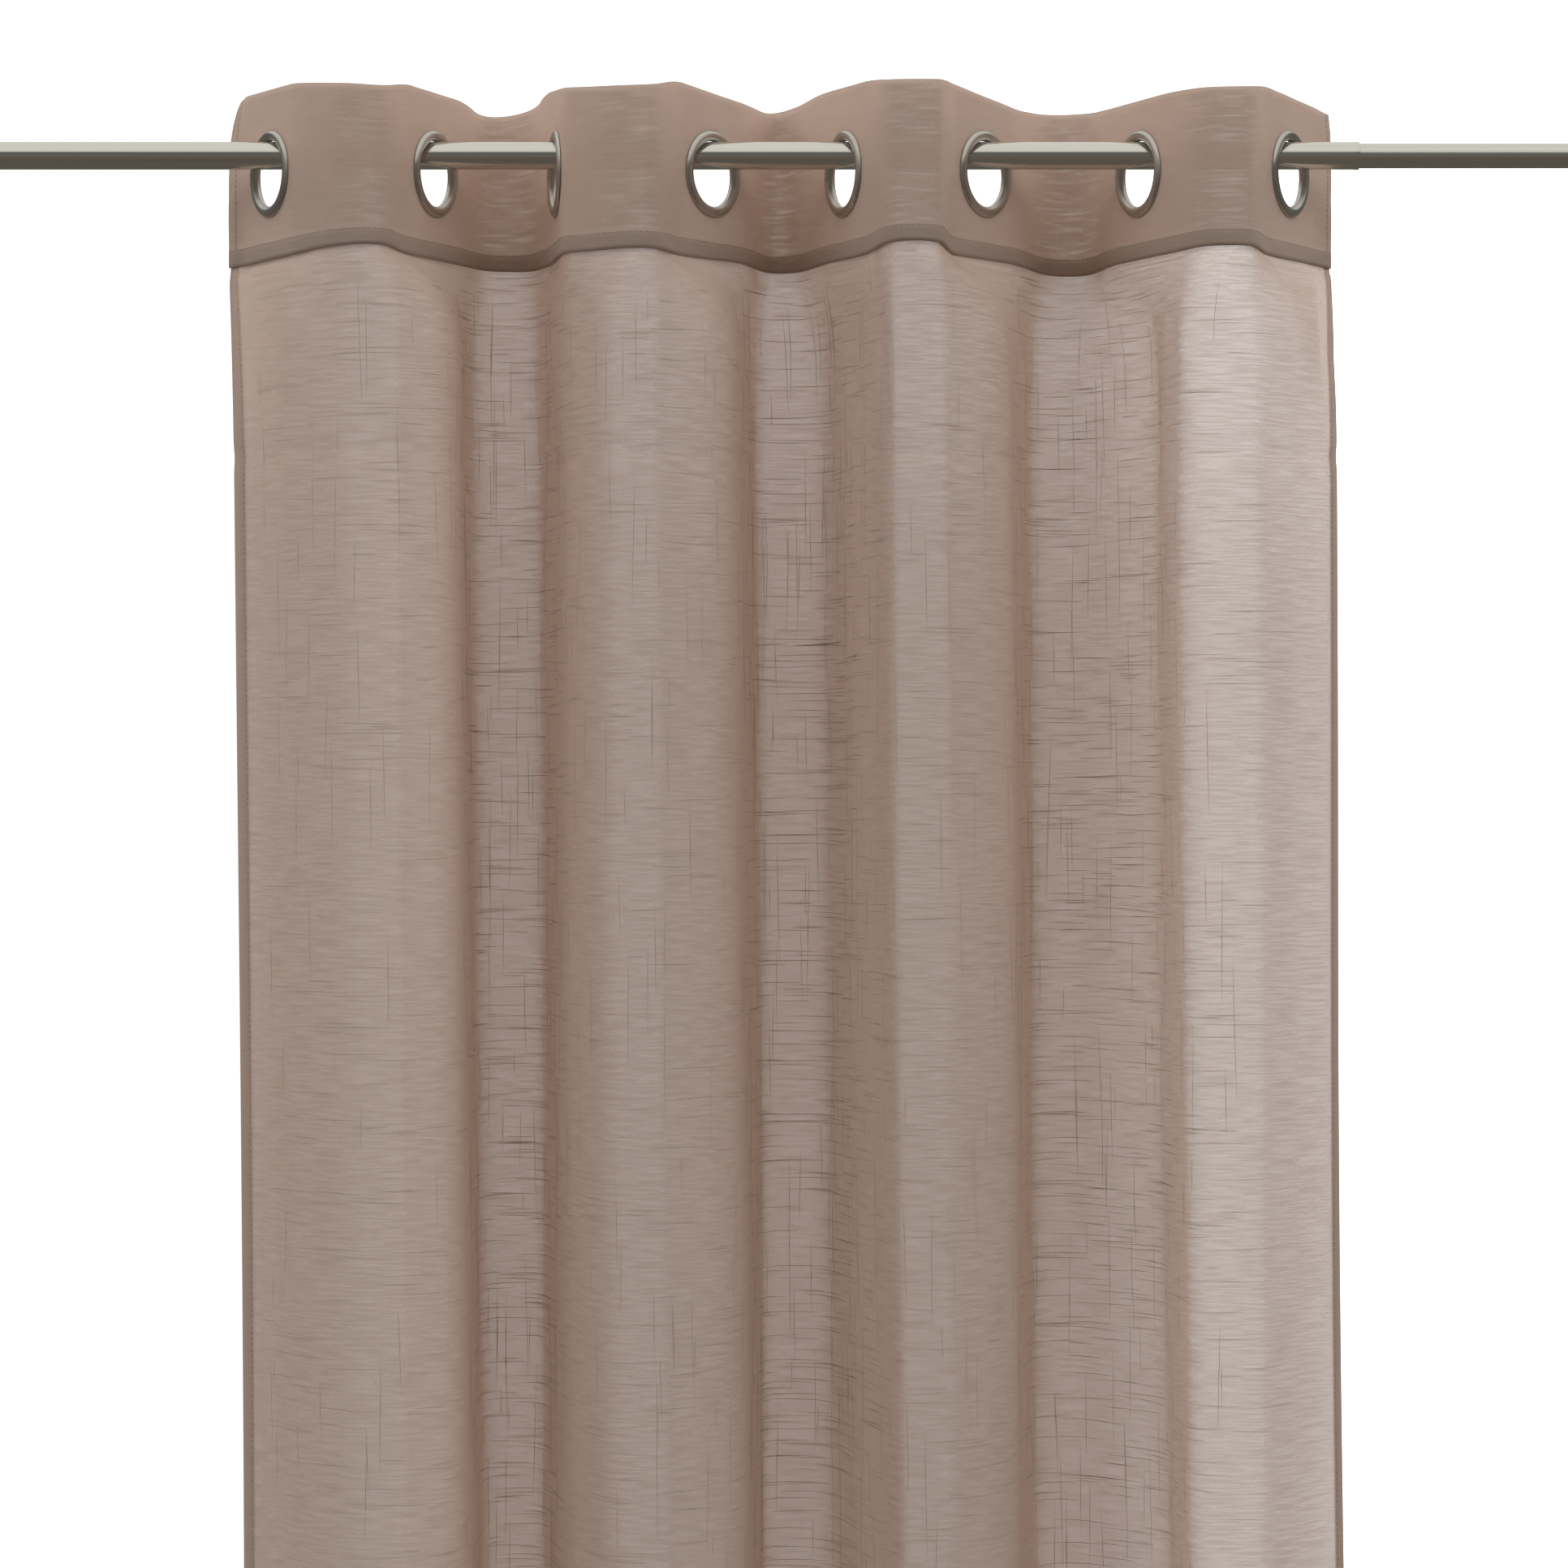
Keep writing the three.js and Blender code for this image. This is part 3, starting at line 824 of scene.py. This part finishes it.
def eyelet_section():
    """A rounded flange on each side of the heading, with a groove between them for the cloth."""
    middle = (EYELET_HOLE_RADIUS + EYELET_RADIUS) / 2
    rim = (EYELET_RADIUS - EYELET_HOLE_RADIUS) / 2
    upper = []
    for degrees in EYELET_ARC:
        angle = math.radians(degrees)
        upper.append((middle + rim * math.cos(angle), EYELET_HALF_HEIGHT * math.sin(angle)))
    upper += [(EYELET_RADIUS - EYELET_EDGE, EYELET_GROOVE), (EYELET_NECK_RADIUS, EYELET_GROOVE)]
    lower = [(r, -h) for r, h in reversed(upper)]
    return upper + lower


def make_eyelet(index, material):
    obj = lathe(f"eyelet_ring_{index + 1}", eyelet_section(), material)
    obj.data.transform(Matrix.Rotation(math.radians(90), 4, "X"))
    obj.rotation_euler = (0, 0, flank_angle(index))
    obj.location = (FLANKS[index][0], 0, EYELET_Z)
    return obj


def along_rod(obj):
    """Turns a lathed piece from +Z to +X."""
    obj.data.transform(Matrix.Rotation(math.radians(90), 4, "Y"))
    return obj


def make_outer_tube(material):
    bore = ROD_RADIUS - TUBE_WALL
    lip = ROD_RADIUS + LIP_HEIGHT
    lip_x = TUBE_JOINT_X - LIP_LENGTH
    section = [
        (bore, -ROD_HALF_LENGTH),
        (ROD_RADIUS, -ROD_HALF_LENGTH),
        (ROD_RADIUS, lip_x - LIP_LENGTH),
        (lip, lip_x),
        (lip, TUBE_JOINT_X - LIP_HEIGHT),
        (ROD_RADIUS, TUBE_JOINT_X),
        (bore, TUBE_JOINT_X),
    ]
    return along_rod(lathe("rod_tube_outer", section, material))


def make_inner_tube(material):
    bore = INNER_TUBE_RADIUS - TUBE_WALL
    start = TUBE_JOINT_X - TUBE_OVERLAP
    section = [(bore, start), (INNER_TUBE_RADIUS, start)]
    section += [(INNER_TUBE_RADIUS, ROD_HALF_LENGTH), (bore, ROD_HALF_LENGTH)]
    return along_rod(lathe("rod_tube_inner", section, material))


def make_cap(name, tube_radius, side, material):
    """A plug with a spigot inside its tube and a disc with a rounded edge outside it."""
    spigot = tube_radius - TUBE_WALL - GAP
    seat = ROD_HALF_LENGTH + GAP
    face = seat + CAP_THICKNESS
    section = [(0, ROD_HALF_LENGTH - CAP_SPIGOT), (spigot, ROD_HALF_LENGTH - CAP_SPIGOT), (spigot, seat)]
    section += [(CAP_RADIUS, seat), (CAP_RADIUS, face - CAP_ROUND)]
    for degrees in CAP_ROUND_DEGREES:
        angle = math.radians(degrees)
        round_radius = CAP_RADIUS - CAP_ROUND + CAP_ROUND * math.cos(angle)
        section.append((round_radius, face - CAP_ROUND + CAP_ROUND * math.sin(angle)))
    section.append((0, face))
    obj = along_rod(lathe(name, section, material))
    if side < 0:
        obj.data.transform(Matrix.Rotation(math.pi, 4, "Z"))
    return obj


# Materials

def add_node(tree, kind, **values):
    node = tree.nodes.new(kind)
    for key, value in values.items():
        setattr(node, key, value)
    return node


def math_node(tree, operation, a, b):
    node = add_node(tree, "ShaderNodeMath", operation=operation)
    for socket, value in zip(node.inputs, (a, b)):
        if isinstance(value, (int, float)):
            socket.default_value = value
        else:
            tree.links.new(value, socket)
    return node.outputs[0]


def map_range(tree, value, low, high, to_low, to_high, kind="SMOOTHSTEP"):
    node = add_node(tree, "ShaderNodeMapRange", interpolation_type=kind)
    tree.links.new(value, node.inputs["Value"])
    for name, number in (("From Min", low), ("From Max", high), ("To Min", to_low), ("To Max", to_high)):
        node.inputs[name].default_value = number
    return node.outputs["Result"]


def noise_node(tree, place, scale, detail, dimensions="3D"):
    """Noise with a scale of its own, in waves per metre, along each axis of a place."""
    mapping = add_node(tree, "ShaderNodeMapping")
    mapping.inputs["Scale"].default_value = scale
    tree.links.new(place, mapping.inputs["Vector"])
    texture = add_node(tree, "ShaderNodeTexNoise", noise_dimensions=dimensions)
    texture.inputs["Scale"].default_value = 1.0
    texture.inputs["Detail"].default_value = detail
    tree.links.new(mapping.outputs["Vector"], texture.inputs["Vector"])
    return texture.outputs["Fac"]


def cloth_noise(tree, flat, waves, from_range, to_low, to_high):
    """Noise on the flat cloth, in waves per metre across and down, of which a range is brought to another."""
    return map_range(tree, noise_node(tree, flat, (*waves, 1), 0, "2D"), *from_range, to_low, to_high)


def weave(tree, flat):
    """Unevenness of the weft threads on the flat cloth, about 0."""
    return cloth_noise(tree, flat, WEAVE_WAVES, MIDDLE_NOISE, -WEAVE_SWELL, WEAVE_SWELL)


def heading_gaps(tree, flat, place):
    """Short pale dashes where the gaps of the heading's two layers line up, on the faces of the folds."""
    depth = math_node(tree, "ABSOLUTE", place.outputs["Y"], 0.0)
    on_face = map_range(tree, depth, *DASH_DEPTHS, DASH_LEAST, 1)
    dashes = cloth_noise(tree, flat, DASH_WAVES, DASH_NOISE, 0, DASH_OPENS)
    return math_node(tree, "MULTIPLY", dashes, on_face)


def yarn_amount(tree, flat, relief, doubled):
    """Yarn in one layer, about 1: less in the heading's pale dashes, and towards the right in the drop, where
    thinner yarn paints on brighter light by letting more backdrop through.
    """
    place = add_node(tree, "ShaderNodeSeparateXYZ")
    tree.links.new(add_node(tree, "ShaderNodeTexCoord").outputs["Object"], place.inputs[0])
    amount = math_node(tree, "ADD", relief, 1.0)
    if doubled:
        return math_node(tree, "SUBTRACT", amount, heading_gaps(tree, flat, place))
    # Painted light: thinner yarn towards the right of the drop lets more backdrop through, so the right looks
    # more brightly lit.
    painted_light_at_right = map_range(tree, place.outputs["X"], PAINTED_LIGHT_FROM_X, PAINTED_LIGHT_TO_X, 1, RIGHT_PAINTED_LIGHT_YARN)
    return math_node(tree, "MULTIPLY", amount, painted_light_at_right)


def closed_share(tree, amount, layers):
    """Share of light that meets yarn. Light at a slant crosses more of it, so less goes straight through."""
    slant = add_node(tree, "ShaderNodeLayerWeight")
    slant.inputs["Blend"].default_value = 0.5
    facing = math_node(tree, "SUBTRACT", 1.0, slant.outputs["Facing"])
    facing = math_node(tree, "POWER", math_node(tree, "MAXIMUM", facing, LEAST_FACING), SLANT_POWER)
    yarn_crossed = math_node(tree, "DIVIDE", math_node(tree, "MULTIPLY", amount, layers), facing)
    return math_node(tree, "SUBTRACT", 1.0, math_node(tree, "POWER", OPEN_SHARE, yarn_crossed))


def yarn_tone(tree, layers, relief):
    """The yarn's colour, darker in dense layers and in thick threads."""
    extra = math_node(tree, "MAXIMUM", math_node(tree, "SUBTRACT", layers, DENSE_FROM_LAYERS), 0.0)
    fine = math_node(tree, "MULTIPLY", relief, THREAD_SHADE)
    shade = math_node(tree, "ADD", math_node(tree, "MULTIPLY", extra, DENSE_SHADE), fine)
    tone = add_node(tree, "ShaderNodeVectorMath", operation="SCALE")
    tone.inputs[0].default_value = YARN
    tree.links.new(math_node(tree, "SUBTRACT", 1.0, shade), tone.inputs["Scale"])
    return tone.outputs["Vector"]


def yarn_shader(tree, tone, relief):
    """Soft yarn that throws back most of the light and passes on the rest."""
    face = add_node(tree, "ShaderNodeBsdfPrincipled")
    face.inputs["Roughness"].default_value = YARN_ROUGHNESS
    face.inputs["Specular IOR Level"].default_value = YARN_SPECULAR
    face.inputs["Sheen Weight"].default_value = SHEEN_WEIGHT
    face.inputs["Sheen Roughness"].default_value = SHEEN_ROUGHNESS
    face.inputs["Sheen Tint"].default_value = SHEEN_TINT
    tree.links.new(tone, face.inputs["Base Color"])
    through = add_node(tree, "ShaderNodeBsdfTranslucent")
    tree.links.new(tone, through.inputs["Color"])
    bump = add_node(tree, "ShaderNodeBump")
    bump.inputs["Strength"].default_value = WEAVE_BUMP
    bump.inputs["Distance"].default_value = WEAVE_DEPTH
    tree.links.new(relief, bump.inputs["Height"])
    tree.links.new(bump.outputs["Normal"], face.inputs["Normal"])
    yarn = add_node(tree, "ShaderNodeMixShader")
    yarn.inputs["Fac"].default_value = THROUGH_SHARE
    tree.links.new(face.outputs["BSDF"], yarn.inputs[1])
    tree.links.new(through.outputs["BSDF"], yarn.inputs[2])
    return yarn.outputs["Shader"]


def voile_material(name, doubled):
    """Sheer slub voile: yarn with gaps between, through which the light goes straight on."""
    material = bpy.data.materials.new(name)
    material.use_nodes = True
    tree = material.node_tree
    tree.nodes.clear()
    flat = add_node(tree, "ShaderNodeUVMap", uv_map="cloth").outputs["UV"]
    layers = add_node(tree, "ShaderNodeAttribute", attribute_name="layers").outputs["Fac"]
    relief = weave(tree, flat)
    cloth = add_node(tree, "ShaderNodeMixShader")
    amount = yarn_amount(tree, flat, relief, doubled)
    tree.links.new(closed_share(tree, amount, layers), cloth.inputs["Fac"])
    tree.links.new(add_node(tree, "ShaderNodeBsdfTransparent").outputs["BSDF"], cloth.inputs[1])
    tree.links.new(yarn_shader(tree, yarn_tone(tree, layers, relief), relief), cloth.inputs[2])
    output = add_node(tree, "ShaderNodeOutputMaterial")
    tree.links.new(cloth.outputs["Shader"], output.inputs["Surface"])
    return material


def solid_material(name, colour, metallic, roughness, grain, depth):
    """A solid finish whose grain, in waves per metre along each axis, changes its roughness and surface."""
    material = bpy.data.materials.new(name)
    material.use_nodes = True
    tree = material.node_tree
    shader = tree.nodes["Principled BSDF"]
    shader.inputs["Metallic"].default_value = metallic
    place = add_node(tree, "ShaderNodeTexCoord").outputs["Object"]
    lines = noise_node(tree, place, grain, GRAIN_DETAIL)
    tone = add_node(tree, "ShaderNodeVectorMath", operation="SCALE")
    tone.inputs[0].default_value = colour
    tree.links.new(map_range(tree, lines, *MIDDLE_NOISE, *GRAIN_TONES), tone.inputs["Scale"])
    tree.links.new(tone.outputs["Vector"], shader.inputs["Base Color"])
    smoothest, roughest = (roughness * share for share in GRAIN_ROUGHNESS)
    rough = map_range(tree, lines, *MIDDLE_NOISE, smoothest, roughest)
    tree.links.new(rough, shader.inputs["Roughness"])
    bump = add_node(tree, "ShaderNodeBump")
    bump.inputs["Strength"].default_value = GRAIN_BUMP
    bump.inputs["Distance"].default_value = depth
    tree.links.new(lines, bump.inputs["Height"])
    tree.links.new(bump.outputs["Normal"], shader.inputs["Normal"])
    return material


# Studio

def make_camera():
    data = bpy.data.cameras.new("camera")
    data.sensor_width = SENSOR
    data.lens = FOCAL_PIXELS / IMAGE_SIDE * SENSOR
    camera = bpy.data.objects.new("camera", data)
    camera.location = (0, -CAMERA_DISTANCE, CAMERA_Z)
    camera.rotation_euler = (math.radians(90), 0, 0)
    bpy.context.scene.collection.objects.link(camera)
    bpy.context.scene.camera = camera


def backdrop_light(tree, x, z):
    """White everywhere, with more light to the right and the top, which shows only through the cloth."""
    middle = map_range(tree, x, *BACKDROP_MIDDLE)
    far_right = map_range(tree, x, *BACKDROP_RIGHT)
    top_share = map_range(tree, x, *BACKDROP_TOP_SHARE)
    top = math_node(tree, "MULTIPLY", map_range(tree, z, *BACKDROP_TOP), top_share)
    light = math_node(tree, "ADD", math_node(tree, "ADD", middle, far_right), top)
    return math_node(tree, "ADD", light, BACKDROP_LIGHT)


def make_world():
    """A white backdrop for the camera, and for all other light a dim room with a bright ceiling."""
    world = bpy.data.worlds.new("studio")
    world.use_nodes = True
    tree = world.node_tree
    split = add_node(tree, "ShaderNodeSeparateXYZ")
    tree.links.new(add_node(tree, "ShaderNodeTexCoord").outputs["Generated"], split.inputs[0])
    room = add_node(tree, "ShaderNodeValToRGB")
    tree.links.new(map_range(tree, split.outputs["Z"], -1, 1, 0, 1, "LINEAR"), room.inputs["Fac"])
    stops = room.color_ramp.elements
    stops.remove(stops[0])
    stops[0].position = ROOM_STOPS[0][0]
    for position, _ in ROOM_STOPS[1:]:
        stops.new(position)
    for stop, (_, colour) in zip(stops, ROOM_STOPS):
        stop.color = (*colour, 1)
    light = add_node(tree, "ShaderNodeMix", data_type="RGBA")
    tree.links.new(add_node(tree, "ShaderNodeLightPath").outputs["Is Camera Ray"], light.inputs["Factor"])
    tree.links.new(room.outputs["Color"], light.inputs["A"])
    tree.links.new(backdrop_light(tree, split.outputs["X"], split.outputs["Z"]), light.inputs["B"])
    tree.links.new(light.outputs["Result"], tree.nodes["Background"].inputs["Color"])
    bpy.context.scene.world = world
    bpy.context.scene.view_settings.view_transform = "Standard"
    bpy.context.scene.cycles.max_bounces = MOST_BOUNCES
    bpy.context.scene.cycles.use_light_tree = False


def make_light(name, place, power):
    """A soft square light that neither shows nor mirrors."""
    data = bpy.data.lights.new(name, "AREA")
    data.shape = "RECTANGLE"
    data.size = LIGHT_SIZE
    data.size_y = LIGHT_SIZE
    data.energy = power
    lamp = bpy.data.objects.new(name, data)
    lamp.location = place
    lamp.rotation_euler = (Vector(LIGHT_TARGET) - Vector(place)).to_track_quat("-Z", "Y").to_euler()
    lamp.visible_camera = False
    lamp.visible_glossy = False
    bpy.context.scene.collection.objects.link(lamp)


def make_lights():
    for prefix, ((x, y, z), power) in (("", FRONT_LIGHT), ("back_", BACK_LIGHT)):
        make_light(f"{prefix}left_light", (-x, y, z), power)
        make_light(f"{prefix}right_light", (x, y, z), power)


def make_floor():
    sides = [(-1, -1), (1, -1), (1, 1), (-1, 1)]
    corners = [(x * FLOOR_REACH, y * FLOOR_REACH, FLOOR_Z) for x, y in sides]
    floor = new_mesh("floor", corners, [(0, 1, 2, 3)])
    floor.data.materials.append(solid_material("pale_floor", *PALE_FLOOR))
    floor.visible_glossy = False
    floor.visible_diffuse = False


def place_piece(piece, node=None):
    """Hangs a piece on the part's one body and hides the solid it stands for, if one is given."""
    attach(piece, "root")
    if node:
        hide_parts(node)


make_camera()
make_world()
make_lights()
make_floor()

voile = voile_material("voile", doubled=False)
heading_voile = voile_material("heading_voile", doubled=True)
thread = solid_material("thread", *THREAD)
slub_yarn = solid_material("slub_yarn", *SLUB_YARN)
nickel = solid_material("satin_nickel", *ROD_NICKEL)
ring_nickel = solid_material("ring_nickel", *RING_NICKEL)
plug = solid_material("plug_plastic", *PLUG_PLASTIC)

heading_rows = heading_sheet()
heading_rows.rows, heading_keep = cut_eyelet_holes(heading_rows.rows)
heading = heading_rows.make("voile_heading", heading_keep, heading_voile)
place_piece(heading, "heading")

panel_rows = panel_sheet()
panel = panel_rows.make("voile_panel", None, voile)
place_piece(panel, "panel")

band_row = heading_rows.levels.index(SEAM_Z + SEAM_BAND)
heading_runs = [row_run(heading_rows, band_row, layer_lift(SEAM_LAYERS))]
heading_runs += [column_run(heading_rows, column, layer_lift(HEM_LAYERS)) for column in (1, -2)]
heading_stitches = stitch_mesh("heading_stitches", heading_runs, thread)
place_piece(heading_stitches)

hem_row = panel_rows.levels.index(HEM_Z + BOTTOM_HEM)
panel_runs = [row_run(panel_rows, hem_row, layer_lift(HEM_LAYERS))]
panel_runs += [column_run(panel_rows, column, layer_lift(HEM_LAYERS)) for column in (1, -2)]
hem_stitches = stitch_mesh("hem_stitches", panel_runs, thread)
place_piece(hem_stitches)

weft_lines = slub_lines(panel_rows, WEFT_SLUBS, WEFT_SLUB_LENGTH, WEFT_SEED, is_weft=True)
warp_lines = slub_lines(panel_rows, WARP_SLUBS, WARP_SLUB_LENGTH, WARP_SEED, is_weft=False)
weft_slubs = slub_mesh("weft_slubs", panel_rows, weft_lines, slub_yarn)
warp_slubs = slub_mesh("warp_slubs", panel_rows, warp_lines, slub_yarn)
place_piece(weft_slubs)
place_piece(warp_slubs)

for number in range(len(FLANKS)):
    place_piece(make_eyelet(number, ring_nickel), f"eyelet_{number + 1}")

place_piece(make_outer_tube(nickel), "rod_outer_tube")
place_piece(make_inner_tube(nickel), "rod_inner_tube")
place_piece(make_cap("rod_plug_left", ROD_RADIUS, -1, plug), "rod_cap_left")
place_piece(make_cap("rod_plug_right", INNER_TUBE_RADIUS, 1, plug), "rod_cap_right")
